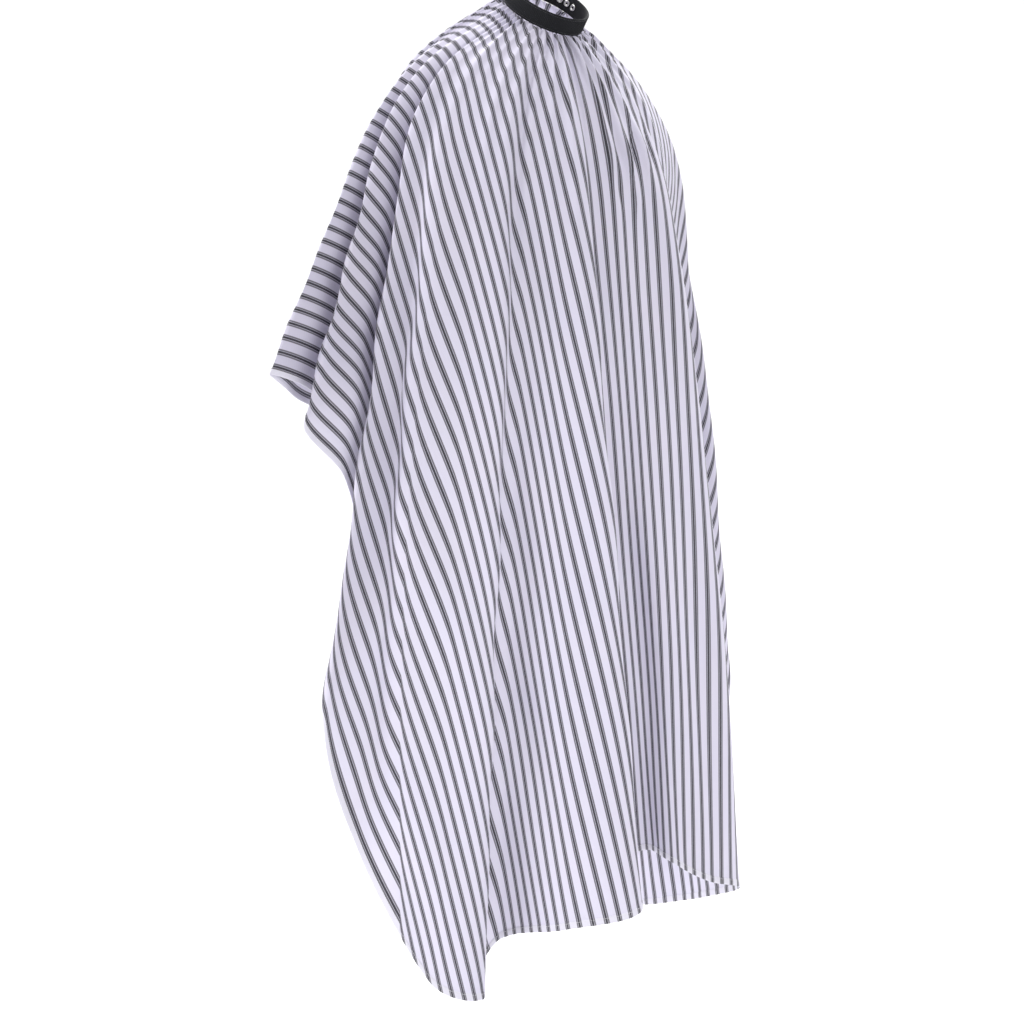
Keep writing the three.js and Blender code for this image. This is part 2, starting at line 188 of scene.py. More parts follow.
# %% Hanging lines, from the back slit round the wearer's right to the front and on
BACK_RIGHT = [
    (-179, 0, 0, (-1, BACK), (-5, 135, -225)),
    (-150, 0, 0, (-202, BACK), (-150, 168, -250)),
    (-134, 0, 0, (-417, BACK), (-202, 163, -345)),
]
RIGHT_SIDE = [
    (-122, 0, 0, (-SIDE, BACK), (-184, 84, -612)),
    (-115, 0, 0, (-SIDE, 200), (-264, 170, -560)),
    (-111, -6, 0, (-SIDE, 90), (-271, 97, -574)),
    (-106, 0, 0, (-SIDE, -30), (-363, 57, -556)),
    (-100, 6, 0, (-SIDE, -150), (-462, -4, -524)),
    (-95, -4, 0, (-SIDE, -225), (-370, 24, -546)),
    (-90, 8, 0, (-SIDE, -275), (-418, -15, -589)),
    (-84, -4, 0, (-SIDE, -370), (-339, 4, -651)),
    (-80, -16, 0, (-SIDE, -500), (-290, 40, -745)),
    (-76, 12, 0, (-SIDE, -800), (-387, -15, -964)),
    (-68, 2, 0, (-SIDE, -1010), (-336, -14, -1121)),
]
FRONT_EDGE = [
    (-60, 0, -30, (-SIDE, FRONT), (-291, -50, -1242)),
    (-46, 0, 0, (-665, FRONT), (-260, -85, -1309)),
    (-33, 5, 0, (-578, FRONT), (-205, -115, -1325)),
    (-30, -6, 0, (-528, FRONT), (-192, -86, -1295)),
    (-25, 0, 0, (-478, FRONT), (-154, -86, -1257)),
    (-15, 2, 0, (-335, FRONT), (-112, -167, -1239)),
    (-6, 3, 0, (-205, FRONT), (-36, -231, -1215)),
    (-2, -6, 0, (-110, FRONT), (-2, -150, -1168)),
    (3, 0, 0, (-20, FRONT), (44, -156, -1150)),
    (10, 2, 6, (70, FRONT), (61, -195, -1167)),
    (19, 3, 16, (150, FRONT), (115, -201, -1194)),
    (31, 6, 24, (229, FRONT), (185, -195, -1209)),
    (38, -3, 16, (350, FRONT), (219, -79, -1241)),
    (46, 0, 10, (470, FRONT), (200, 15, -1260)),
    (53, 0, 6, (598, FRONT), (170, 80, -1262)),
    (60, 0, 6, (SIDE, FRONT), (250, 90, -1245)),
]
LEFT_SIDE = [
    (68, 0, 8, (SIDE, -1010), (305, 60, -1125)),
    (75, 2, 8, (SIDE, -800), (366, 10, -965)),
    (80, 0, 8, (SIDE, -520), (347, 48, -755)),
    (85, 0, 6, (SIDE, -370), (341, 76, -665)),
    (90, 2, 4, (SIDE, -275), (346, 82, -612)),
    (95, 0, 0, (SIDE, -225), (347, 88, -586)),
    (100, 0, 0, (SIDE, -150), (345, 94, -562)),
    (106, 0, 0, (SIDE, -30), (322, 104, -562)),
    (111, -2, 0, (SIDE, 90), (286, 116, -574)),
    (115, 0, 0, (SIDE, 200), (264, 170, -560)),
    (122, 0, 0, (SIDE, BACK), (184, 84, -612)),
]
BACK_LEFT = [
    (134, 0, 0, (417, BACK), (202, 163, -345)),
    (150, 0, 0, (202, BACK), (150, 168, -250)),
    (179, 0, 0, (1, BACK), (5, 135, -225)),
]
HANGING_LINES = BACK_RIGHT + RIGHT_SIDE + FRONT_EDGE + LEFT_SIDE + BACK_LEFT
print("hanging lines:", len(HANGING_LINES))

# %% [markdown]
# The cloth is sewn to the lower edge of the neckband, which is a tilted circle: lower at the
# throat and higher at the nape. Its axis and its two directions in the plane give every place
# on the band from an angle, a radius and a height.

# %% The neckband's own axes
BAND_TILT = math.radians(38)
BAND_R = 60.0
BAND_H = 25.0
ELASTIC_T = 1.6
band_axis = np.array([0, -math.sin(BAND_TILT), math.cos(BAND_TILT)])
throatward = np.array([0, -math.cos(BAND_TILT), -math.sin(BAND_TILT)])
leftward = np.array([1.0, 0, 0])


def band_point(degrees, radius, height):
    a = np.radians(np.asarray(degrees, float))[..., None]
    r = np.asarray(radius, float)[..., None]
    h = np.asarray(height, float)[..., None]
    return (np.cos(a) * throatward + np.sin(a) * leftward) * r + band_axis * h


# %% [markdown]
# Between the hanging lines, the edge of the cloth runs on a smooth curve through their ends.
# A Hermite curve does that: it passes through every point, with a slope taken from the
# point's two neighbours.


# %% A smooth curve through given points
def smooth_curve(at, knots, values):
    values = np.asarray(values, float).reshape(len(knots), -1)
    slope = np.gradient(values, knots, axis=0)
    slope[1:-1] = (values[2:] - values[:-2]) / (knots[2:] - knots[:-2])[:, None]
    i = np.clip(np.searchsorted(knots, at, side="right") - 1, 0, len(knots) - 2)
    span = (knots[i + 1] - knots[i])[:, None]
    t = (at - knots[i])[:, None] / span
    start = values[i] * (2 * t**3 - 3 * t**2 + 1) + slope[i] * span * (t**3 - 2 * t**2 + t)
    end = values[i + 1] * (3 * t**2 - 2 * t**3) + slope[i + 1] * span * (t**3 - t**2)
    return start + end


# %% [markdown]
# The sheet becomes a grid. Its lines run from the neck to the edge, about 8 mm apart at the
# edge, and its rows run round the wearer. The same steps are made twice, once for the flat
# cloth and once for the hanging cloth, so every point knows both its places.

# %% Lines of the sheet
EDGE_STEP = 8.0
ROWS = 130
SMOOTH_STEPS = 8
edge_flat_knots = np.array([line[3] for line in HANGING_LINES], float)
edge_length = np.r_[0, np.cumsum(np.hypot(*np.diff(edge_flat_knots, axis=0).T))]
stations = [edge_length[:1]]
for a, b in zip(edge_length[:-1], edge_length[1:]):
    steps = max(1, round((b - a) / EDGE_STEP))
    stations.append(np.linspace(a, b, steps + 1)[1:])
stations = np.concatenate(stations)
edge_flat = np.stack([
    np.interp(stations, edge_length, edge_flat_knots[:, k]) for k in (0, 1)
], axis=1)
edge_hung = smooth_curve(stations, edge_length, [line[4] for line in HANGING_LINES])
push = smooth_curve(stations, edge_length, [line[1] for line in HANGING_LINES])
bow = smooth_curve(stations, edge_length, [line[2] for line in HANGING_LINES])

turn = np.interp(stations, edge_length, [line[0] for line in HANGING_LINES])
window = np.hanning(2 * SMOOTH_STEPS + 1)
padded_turn = np.r_[
    2 * turn[0] - turn[SMOOTH_STEPS:0:-1], turn, 2 * turn[-1] - turn[-2:-SMOOTH_STEPS - 2:-1]
]
turn = np.convolve(padded_turn, window / window.sum(), "valid")
print("lines:", len(stations), "edge length in m:", round(edge_length[-1] * MM, 3))

# %% [markdown]
# Over the shoulders the cloth turns from lying nearly flat to hanging straight down. The turn
# is a rounded corner: a straight piece from the neck, a curve over the shoulder and a
# straight piece to the edge. The corners lie on an oval round the body, whose centre is a
# little behind the neck and which is lower at the chest than at the back. Rows are closer
# together near the neck, where the small pleats are.

# %% From lines to two matching grids
SHOULDER_HALF = 238
CHEST_DEPTH = 116
BACK_DEPTH = 108
SHOULDER_BEND = 120.0
OVAL_BEHIND = 15
OVAL_DROP = 118
CHEST_DROP = 52
ROW_CROWDING = 1.15
SEAM_GAP = 1.1

radians = np.radians(turn)
forward = np.cos(radians)[:, None]
aside = np.sin(radians)[:, None]
depth = np.where(forward > 0, CHEST_DEPTH, BACK_DEPTH)
seam = band_point(turn, BAND_R - ELASTIC_T, -BAND_H / 2 - SEAM_GAP)
shoulder = np.hstack([
    (SHOULDER_HALF + push) * aside,
    OVAL_BEHIND - (depth + push) * forward,
    -OVAL_DROP - CHEST_DROP * forward,
])
upper = np.linalg.norm(seam - shoulder, axis=1)[:, None]
lower = np.linalg.norm(edge_hung - shoulder, axis=1)[:, None]
direction = np.hstack([aside, -forward])
along = np.linspace(0, 1, ROWS + 1)[None, :] ** ROW_CROWDING * (upper + lower) - upper
bend = np.minimum(SHOULDER_BEND, np.minimum(upper, lower))


def bent_lines(first, corner, last):
    before = corner[:, None] + (corner - first)[:, None] * (along / upper)[..., None]
    after = corner[:, None] + (last - corner)[:, None] * (along / lower)[..., None]
    start = (corner + (first - corner) * bend / upper)[:, None]
    end = (corner + (last - corner) * bend / lower)[:, None]
    t = ((along + bend) / (2 * bend))[..., None]
    curve = start * (1 - t) ** 2 + corner[:, None] * 2 * t * (1 - t) + end * t**2
    mixed = np.where((along < -bend)[..., None], before, curve)
    return np.where((along > bend)[..., None], after, mixed)


flat = bent_lines(direction * NECK_HOLE_R, direction * (NECK_HOLE_R + upper), edge_flat)
hung = bent_lines(seam, shoulder, edge_hung)
hung[..., 0] += bow * np.sin(math.pi * np.clip(along / lower, 0, 1))
print("grid:", hung.shape[:2])


# %% [markdown]
# Small folds are added by moving points in and out along the surface's own direction. That
# direction is the normal, found from the neighbours on each side.


# %% Normals of a grid
def grid_normals(points):
    across = np.gradient(points, axis=0)
    down = np.gradient(points, axis=1)
    normal = np.cross(down, across)
    return normal / np.maximum(np.linalg.norm(normal, axis=2, keepdims=True), 1e-9)


centre_line = np.array([0, 10.0, 0])
outward_check = ((hung - centre_line) * grid_normals(hung))[:, ROWS // 2, :2].sum(axis=1)
print("share of the sheet whose normal faces outward:", round(float((outward_check > 0).mean()), 2))

# %% [markdown]
# The neck hole is more than a third longer round than the band it is sewn to, so the extra
# cloth stands in small pleats under the band. They are deepest near the seam and fade out
# over the chest, each at its own rate. A few long ones run on as soft folds: each has a
# direction and a half width in degrees, then a height and a length in millimetres.

# %% Gathers under the neckband
rng = np.random.default_rng(7)
PLEATS = 46
PLEAT_HEIGHT = 3.4
neck_distance = np.maximum(np.linalg.norm(flat, axis=2) - NECK_HOLE_R, 0)
neck_angle = turn[:, None] * np.ones_like(neck_distance)
pleat_phase = neck_angle / 360 * PLEATS + 0.35 * np.sin(np.radians(neck_angle * 5))
pleat = np.floor(pleat_phase).astype(int) + PLEATS
strength = rng.uniform(0.55, 1.15, 2 * PLEATS + 2)[pleat]
reach = rng.uniform(28, 85, 2 * PLEATS + 2)[pleat]
fade = np.exp(-((neck_distance / reach) ** 1.3)) * np.minimum(1, neck_distance / 3 + 0.3)
gathers = PLEAT_HEIGHT * strength * fade * np.cos(2 * math.pi * pleat_phase)

LONG_FOLDS = [
    (-62, 3.2, 6.0, 190),
    (-54, 2.2, 5.0, 120),
    (-44, 2.4, 7.0, 240),
    (-36, 1.8, 6.0, 160),
    (-27, 1.9, 6.5, 260),
    (-18, 1.6, 5.5, 170),
    (-10, 1.5, 6.5, 250),
    (-1, 1.6, 5.5, 200),
    (7, 1.5, 6.5, 290),
    (15, 1.7, 6.0, 220),
    (24, 1.9, 6.5, 260),
    (34, 2.2, 6.0, 200),
    (47, 3.0, 5.0, 180),
    (70, 4.0, 4.5, 160),
    (150, 4.0, 4.0, 150),
    (-145, 4.0, 4.0, 150),
]
FOLD_START = 25
for middle, width, height, length in LONG_FOLDS:
    bump = np.exp(-(((neck_angle - middle) / width) ** 2))
    fade = np.exp(-((neck_distance / length) ** 2)) * np.minimum(1, neck_distance / FOLD_START)
    gathers += height * bump * fade

# %% [markdown]
# High on the wearer's left chest the cloth is caught and crumples into a few short creases.
# Each crease is a narrow ridge: its place to the wearer's left and behind the neck on the
# flat cloth, its lean, its width and length, and its height, which is less than 0 for a dip.

# %% Creases on the chest
CHEST_CREASES = [
    (26, -262, 0.10, 6.0, 34, 5.0),
    (44, -248, -0.15, 5.5, 42, -4.5),
    (58, -272, 0.05, 6.5, 38, 5.5),
    (76, -240, 0.20, 6.0, 46, -4.5),
    (92, -268, 0.00, 6.5, 40, 5.0),
    (110, -244, 0.15, 6.0, 36, -4.0),
    (66, -322, 0.10, 5.5, 26, 3.5),
    (36, -318, -0.10, 5.5, 24, -3.5),
]
for u, v, lean, width, length, height in CHEST_CREASES:
    off = flat[..., 1] - v
    ridge = np.exp(-(((flat[..., 0] - u - lean * off) / width) ** 2))
    gathers += height * ridge * np.exp(-((off / length) ** 2))

# %% [markdown]
# Thin cloth is never quite flat between its big folds. A few long, shallow waves that run
# down the cloth, all from a fixed seed, keep the light moving over it. At the back the same
# width of cloth has less room, so it hangs in deeper flutes. Those flutes are a maker's
# guess at a side that isn't known, and they take up some of the sheet's spare width.

# %% Shallow waves between the folds
WAVES = 9
WAVE_START = 120
WAVE_FADE_IN = 260
swell = np.zeros_like(neck_distance)
for _ in range(WAVES):
    width = rng.uniform(90, 260)
    length = rng.uniform(500, 1400)
    start = rng.uniform(0, 2 * math.pi)
    lean = rng.uniform(-0.3, 0.3)
    phase = (flat[..., 0] + lean * flat[..., 1]) / width + flat[..., 1] / length
    swell += rng.uniform(0.5, 1.3) * np.sin(2 * math.pi * phase + start)
swell *= np.clip((neck_distance - WAVE_START) / WAVE_FADE_IN, 0, 1)

FLUTE_PITCH = 92.0
FLUTE_HEIGHT = 9.0
FLUTE_ANGLE = 98
FLUTE_ANGLE_FADE = 20
FLUTE_FADE_IN = 170
behind = np.clip((np.abs(neck_angle) - FLUTE_ANGLE) / FLUTE_ANGLE_FADE, 0, 1)
fullness = behind * np.clip(neck_distance / FLUTE_FADE_IN, 0, 1)
swell += FLUTE_HEIGHT * fullness * np.sin(2 * math.pi * stations[:, None] / FLUTE_PITCH)
hung = hung + grid_normals(hung) * (gathers + swell)[..., None]
spacing = np.linalg.norm(np.diff(hung, axis=0), axis=2) / np.linalg.norm(np.diff(flat, axis=0), axis=2)
print("hung to flat spacing across the lines, middle value:", round(float(np.median(spacing)), 2))
normals = grid_normals(hung)

# %% [markdown]
# The grid becomes the sheet's mesh. It is one single layer without thickness, because the
# real cloth is about a tenth of a millimetre thick, and it carries the flat places as a UV
# map in metres.

# %% The sheet
sheet = grid_mesh("cape_sheet", hung * MM, flat * MM)
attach(sheet, "cape")
panel_nodes = sorted(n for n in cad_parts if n.startswith("cape_panel"))
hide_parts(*panel_nodes)
print("sheet quads:", len(sheet.data.polygons), "stands for", len(panel_nodes), "CAD nodes")


# %% [markdown]
# A hem is the edge of the cloth turned over twice and stitched, 9 mm wide. It is made as a
# flat sleeve around the edge of the sheet. Its section is walked along the edge, using the
# distance from the edge on the flat cloth to find each place on the hanging cloth. The
# section's points are that distance and how far they stand off the cloth.

# %% Hem strips
HEM = 9.0
HEM_ROWS = 13
HEM_SECTION = [
    (HEM, 0.3), (8.7, 0.65), (6.8, 0.75), (4.0, 0.9), (0.9, 0.85), (0.2, 0.55),
    (0.0, 0.0), (0.2, -0.55), (0.9, -0.85), (4.0, -0.9), (6.8, -0.75), (8.7, -0.65), (HEM, -0.3),
]


def at_distance(distances, values, wanted):
    """Values at one distance from the edge, for every line of (lines, points) distances."""
    rows = [
        [np.interp(wanted, d, v[:, k]) for k in range(v.shape[1])]
        for d, v in zip(distances, values)
    ]
    return np.array(rows)


def hem_piece(name, distances, places, facing, flat_places, node):
    section = []
    section_flat = []
    for inward, offset in HEM_SECTION:
        place = at_distance(distances, places, inward)
        normal = at_distance(distances, facing, inward)
        normal /= np.linalg.norm(normal, axis=1, keepdims=True)
        section.append(place + normal * offset)
        section_flat.append(at_distance(distances, flat_places, inward))
    points = np.stack(section, axis=1)
    piece = grid_mesh(name, points * MM, np.stack(section_flat, axis=1) * MM, closed=True)
    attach(piece, "cape")
    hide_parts(node)
    return piece


def edge_rows(first, last, outward_flat):
    """The last rows of the lines between two stations, walked inward from the edge."""
    pick = slice(first, last + 1)
    inward = slice(None, -HEM_ROWS - 1, -1)
    gone = ((edge_flat[pick, None] - flat[pick, inward]) * outward_flat).sum(axis=2)
    return gone, hung[pick, inward], normals[pick, inward], flat[pick, inward]


def station_of(u, v):
    return int(np.argmin(np.hypot(edge_flat[:, 0] - u, edge_flat[:, 1] - v)))


corners = {
    "back_right": station_of(-SIDE, BACK),
    "front_right": station_of(-SIDE, FRONT),
    "front_left": station_of(SIDE, FRONT),
    "back_left": station_of(SIDE, BACK),
}
last_station = len(stations) - 1
HEM_EDGES = {
    "hem_back_right": (0, corners["back_right"], (0, 1)),
    "hem_right": (corners["back_right"], corners["front_right"], (-1, 0)),
    "hem_front": (corners["front_right"], corners["front_left"], (0, -1)),
    "hem_left": (corners["front_left"], corners["back_left"], (1, 0)),
    "hem_back_left": (corners["back_left"], last_station, (0, 1)),
}
hem_parts = {name: edge_rows(a, b, np.array(way)) for name, (a, b, way) in HEM_EDGES.items()}
SLIT_LINES = 12
SLIT_HEMS = {
    "slit_hem_right": slice(0, SLIT_LINES),
    "slit_hem_left": slice(None, -SLIT_LINES - 1, -1),
}
for name, lines in SLIT_HEMS.items():
    parts = [grid[lines].swapaxes(0, 1) for grid in (hung, normals, flat)]
    gone = np.linalg.norm(parts[2] - parts[2][:, :1], axis=2)
    hem_parts[name] = (gone, *parts)

hems = [hem_piece(f"{name}_cloth", *parts, name) for name, parts in hem_parts.items()]
print("hems:", [piece.name for piece in hems])


# %% [markdown]
# A line of machine stitches holds each hem down, 2 mm from its inner fold. Each stitch is a
# short, slightly humped piece of thread, and between two stitches the thread dips through
# the cloth. All stitches of one seam are one mesh.


# %% Stitches along a path
def stitch_row(name, path, facing, pitch, length, radius):
    steps = np.linalg.norm(np.diff(path, axis=0), axis=1)
    travel = np.r_[0, np.cumsum(steps)]
    count = int(travel[-1] / pitch)
    sides = 6
    shape = np.array([(-0.5, 0.15), (-0.32, 0.8), (0.0, 1.0), (0.32, 0.8), (0.5, 0.15)])
    verts = []
    faces = []
    for s in range(count):
        middle = (s + 0.5) * pitch
        at = middle + shape[:, 0] * length
        centre = np.stack([np.interp(at, travel, path[:, k]) for k in range(3)], axis=1)
        up = np.array([np.interp(middle, travel, facing[:, k]) for k in range(3)])
        up /= np.linalg.norm(up)
        run = centre[-1] - centre[0]
        side = np.cross(up, run)
        side /= np.linalg.norm(side)
        base = len(verts)
        for ring, (_, share) in enumerate(shape):
            lift = centre[ring] + up * radius * (share - 0.6)
            for k in range(sides):
                a = 2 * math.pi * k / sides
                spoke = up * math.sin(a) + side * math.cos(a)
                verts.append(lift + spoke * radius * (0.35 + 0.65 * share))
        for ring in range(len(shape) - 1):
            for k in range(sides):
                a = base + ring * sides + k
                b = base + ring * sides + (k + 1) % sides
                faces.append((a, b, b + sides, a + sides))
        faces.append(tuple(base + k for k in reversed(range(sides))))
        faces.append(tuple(base + (len(shape) - 1) * sides + k for k in range(sides)))
    mesh = bpy.data.meshes.new(name)
    mesh.from_pydata([tuple(v * MM) for v in verts], [], faces)
    mesh.polygons.foreach_set("use_smooth", [True] * len(mesh.polygons))
    piece = bpy.data.objects.new(name, mesh)
    bpy.context.scene.collection.objects.link(piece)
    return piece


STITCH_INSET = 7.0
HEM_FACE = 0.85
hem_threads = []
for name, (gone, places, facing, _) in hem_parts.items():
    path = at_distance(gone, places, STITCH_INSET)
    up = at_distance(gone, facing, STITCH_INSET)
    up /= np.linalg.norm(up, axis=1, keepdims=True)
    thread = stitch_row(f"{name}_stitches", path + up * HEM_FACE, up, pitch=3.2, length=2.4, radius=0.2)
    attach(thread, "cape")
    hem_threads.append(thread)
print("stitch faces:", sum(len(t.data.polygons) for t in hem_threads))

# %% [markdown]
# The neckband is black elastic with fine upright ribs, 25 mm high. Each rib is real geometry:
# the outer radius swells and dips about 155 times on the way round, and the ribs flatten out
# at the woven edges. The right-hand end swings outward so that its tab can lap over the other.

# %% Ribbed elastic strips
BAND_END = 178.0
FLARE_START = 150.0
FLARE = 5.6
RIB_PITCH = 2.4
RIB_DEPTH = 0.6
GAP = 0.3


def band_flare(degrees):
    t = np.clip((-degrees - FLARE_START) / (BAND_END - FLARE_START), 0, 1)
    return FLARE * t * t * (3 - 2 * t)


def strip_section(thickness, steps):
    """Heights and depths round a flat strip with rounded edges, outer face first."""
    half = BAND_H / 2
    outer = [(h, thickness) for h in np.linspace(-half + 0.8, half - 0.8, steps)]
    top = [
        (half - 0.15, thickness * 0.75), (half, thickness * 0.5), (half - 0.15, thickness * 0.25)
    ]
    inner = [(h, 0.0) for h in np.linspace(half - 0.8, -half + 0.8, steps)]
    bottom = [
        (-half + 0.15, thickness * 0.25), (-half, thickness * 0.5), (-half + 0.15, thickness * 0.75)
    ]
    return np.array(outer + top + inner + bottom)


def band_strip(name, first, last, inner_r, thickness, rib_depth, lift):
    arc = math.radians(abs(last - first)) * (inner_r + thickness)
    ribs = round(arc / RIB_PITCH)
    per_rib = 6 if rib_depth else 1
    angles = np.linspace(first, last, ribs * per_rib + 1)
    section = strip_section(thickness, 9)
    wave = (0.5 - 0.5 * np.cos(2 * math.pi * np.arange(len(angles)) / per_rib)) ** 0.6
    outer_face = section[:, 1] > thickness * 0.6
    edge_fade = np.clip((BAND_H / 2 - np.abs(section[:, 0])) / 1.6, 0, 1)
    dip = rib_depth * (1 - wave)[:, None] * (outer_face * edge_fade)[None, :]
    radius = inner_r + lift(angles)[:, None] + section[None, :, 1] - dip
    points = band_point(angles[:, None] + 0 * radius, radius, section[None, :, 0] + 0 * radius)
    travel = np.radians(angles - first) * inner_r
    cloth = np.stack([travel[:, None] + 0 * radius, section[None, :, 0] + 0 * radius], axis=2)
    piece = grid_mesh(name, points * MM, cloth * MM, closed=True)
    cap = len(section)
    last_ring = (len(angles) - 1) * cap
    close_ends(piece.data, [tuple(reversed(range(cap))), tuple(last_ring + k for k in range(cap))])
    return piece


def close_ends(mesh, ends):
    """Add the end faces, keeping the mesh's UV map."""
    work = bmesh.new()
    work.from_mesh(mesh)
    work.verts.ensure_lookup_table()
    for ring in ends:
        work.faces.new([work.verts[k] for k in ring])
    work.normal_update()
    bmesh.ops.recalc_face_normals(work, faces=work.faces)
    work.to_mesh(mesh)
    work.free()


def no_lift(degrees):
    return 0 * degrees


elastic_inner = BAND_R - ELASTIC_T
LINING_T = 1.0
lining_inner = elastic_inner - GAP - LINING_T
elastic = band_strip(
    "neckband_ribbed", -BAND_END, BAND_END, elastic_inner, ELASTIC_T, RIB_DEPTH, band_flare
)
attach(elastic, "cape")
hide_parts("neckband_elastic")
lining = band_strip("neckband_tape", -BAND_END, BAND_END, lining_inner, LINING_T, 0.0, band_flare)
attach(lining, "cape")
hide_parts("neckband_lining")
print("ribbed band faces:", len(elastic.data.polygons))

# %% [markdown]
# Two rows of dark stitches run round the band: the lower one sews it to the gathered cloth,
# the upper one holds the soft tape inside.

# %% Band stitches
band_threads = []
angles = np.linspace(-BAND_END + 1, BAND_END - 1, 400)
for label, height in (("lower", -9.6), ("upper", 10.2)):
    path = band_point(angles, BAND_R + band_flare(angles) - 0.05, height + 0 * angles)
    up = band_point(angles, 1 + 0 * angles, 0 * angles)
    thread = stitch_row(f"band_stitches_{label}", path, up, pitch=3.0, length=2.3, radius=0.22)
    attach(thread, "cape")
    band_threads.append(thread)

# %% [markdown]
# The closing tab is the free end of the band. It laps over the other end at the nape and
# snaps on to two of the six studs there. On the real cape the elastic bends at the tab's
# root. Here the whole tab turns about its root as one stiff piece, with its two snaps, and
# a hairline gap parts it from the band.

# %% Closing tab
TAB_ROOT = 181.6
TAB_TIP = 141.5
SOCKET_LIFT = 1.1
SOCKET_H = 2.5
stud_base = BAND_R + GAP
socket_base = stud_base + SOCKET_LIFT
tab_lining_inner = socket_base + SOCKET_H + GAP
tab_elastic_inner = tab_lining_inner + LINING_T + GAP
tab_elastic = band_strip(
    "closing_tab_ribbed", TAB_TIP, TAB_ROOT, tab_elastic_inner, ELASTIC_T, RIB_DEPTH, no_lift
)
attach(tab_elastic, "closing_tab")
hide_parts("closing_tab_elastic")
tab_tape = band_strip(
    "closing_tab_tape", TAB_TIP, TAB_ROOT, tab_lining_inner, LINING_T, 0.0, no_lift
)
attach(tab_tape, "closing_tab")
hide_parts("closing_tab_lining")


# %% [markdown]
# The snaps are turned metal, so each is a profile spun round its own axis. They are the same
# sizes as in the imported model, with finer steps and softly rounded edges.


# %% Snaps
def turned(name, profile, degrees, base_radius, body, node):
    sides = 40
    spin = np.linspace(0, 2 * math.pi, sides + 1)[:-1]
    out = band_point(degrees, 1.0, 0.0).reshape(3)
    across = np.cross(band_axis, out)
    rings = []
    for radius, rise in profile:
        ring = out * (base_radius + rise) + np.outer(np.cos(spin), across) * radius
        rings.append(ring + np.outer(np.sin(spin), band_axis) * radius)
    piece = grid_mesh(name, np.array(rings) * MM, closed=True)
    work = bmesh.new()
    work.from_mesh(piece.data)
    bmesh.ops.remove_doubles(work, verts=work.verts, dist=1e-6)
    bmesh.ops.recalc_face_normals(work, faces=work.faces)
    work.to_mesh(piece.data)
    work.free()
    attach(piece, body)
    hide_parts(node)
    return piece


STUD = [(0, 0), (4.5, 0), (4.6, 0.1), (4.6, 0.55), (4.3, 0.72), (2.0, 0.8), (1.7, 0.95),
        (1.75, 1.3), (2.1, 1.8), (2.05, 2.1), (1.7, 2.4), (1.0, 2.48), (0, 2.5)]
STUD_BACK = [(1.6, 0.0), (4.5, 0.0), (4.6, 0.12), (4.6, 0.42), (4.3, 0.62), (3.4, 0.78),
             (1.9, 0.8), (1.65, 0.7), (1.6, 0.0)]
SOCKET = [(0, 1.8), (3.2, 1.8), (3.2, 0.15), (3.35, 0.0), (4.45, 0.0), (4.6, 0.15), (4.6, 1.7),
          (4.3, 2.15), (3.7, 2.45), (3.4, 2.5), (0, 2.5)]
CAP = [(0, 0), (5.4, 0), (5.5, 0.1), (5.5, 0.45), (5.3, 0.72), (4.6, 1.08), (3.6, 1.33),
       (2.6, 1.5), (1.3, 1.58), (0, 1.6)]
STUD_FIRST = 160
STUD_STEP = 12
STUDS = 6
SOCKETS = 2
STUD_BACK_H = 0.8
snap_metal = []
snap_caps = []
for k in range(1, STUDS + 1):
    angle = STUD_FIRST - (k - 1) * STUD_STEP
    snap_metal.append(turned(
        f"stud_{k}", STUD, angle, stud_base, "cape", f"snap_stud_{k}"
    ))
    snap_metal.append(turned(
        f"stud_ring_{k}", STUD_BACK, angle, lining_inner - GAP - STUD_BACK_H, "cape",
        f"snap_stud_back_{k}",
    ))
for k in range(1, SOCKETS + 1):
    angle = STUD_FIRST - (k - 1) * STUD_STEP
    snap_metal.append(turned(
        f"socket_{k}", SOCKET, angle, socket_base, "closing_tab", f"snap_socket_{k}"
    ))
    snap_caps.append(turned(
        f"cap_{k}", CAP, angle, tab_elastic_inner + ELASTIC_T + GAP, "closing_tab",
        f"snap_cap_{k}",
    ))
print("snap pieces:", len(snap_metal) + len(snap_caps))


# %% [markdown]
# Materials are node networks. These small helpers add a node and join two sockets, so each
# material below reads as a short list of steps.


# %% Helpers for materials
def new_material(name, roughness, **sockets):
    material = bpy.data.materials.new(name)
    material.use_nodes = True
    shader = material.node_tree.nodes["Principled BSDF"]
    shader.inputs["Roughness"].default_value = roughness
    for socket, value in sockets.items():
        shader.inputs[socket.replace("_", " ")].default_value = value
    return material, material.node_tree, shader


def add(tree, kind, **settings):
    node = tree.nodes.new(kind)
    for name, value in settings.items():
        setattr(node, name, value)
    return node


def math_node(tree, operation, first, second=None, clamp=False):
    node = add(tree, "ShaderNodeMath", operation=operation, use_clamp=clamp)
    for socket, value in zip(node.inputs, (first, second)):
        if isinstance(value, (int, float)):
            socket.default_value = value
        elif value is not None:
            tree.links.new(value, socket)
    return node.outputs[0]


def mix_colour(tree, share, first, second):
    node = add(tree, "ShaderNodeMix", data_type="RGBA")
    for socket, value in ((node.inputs[0], share), (node.inputs[6], first), (node.inputs[7], second)):
        if isinstance(value, (tuple, float, int)):
            socket.default_value = value
        else:
            tree.links.new(value, socket)
    return node.outputs[2]


def flat_place(tree):
    """The place on the flat cloth, as two separate numbers in metres."""
    uv = add(tree, "ShaderNodeUVMap", uv_map="flat")
    split = add(tree, "ShaderNodeSeparateXYZ")
    tree.links.new(uv.outputs[0], split.inputs[0])
    return uv.outputs[0], split.outputs[0], split.outputs[1]
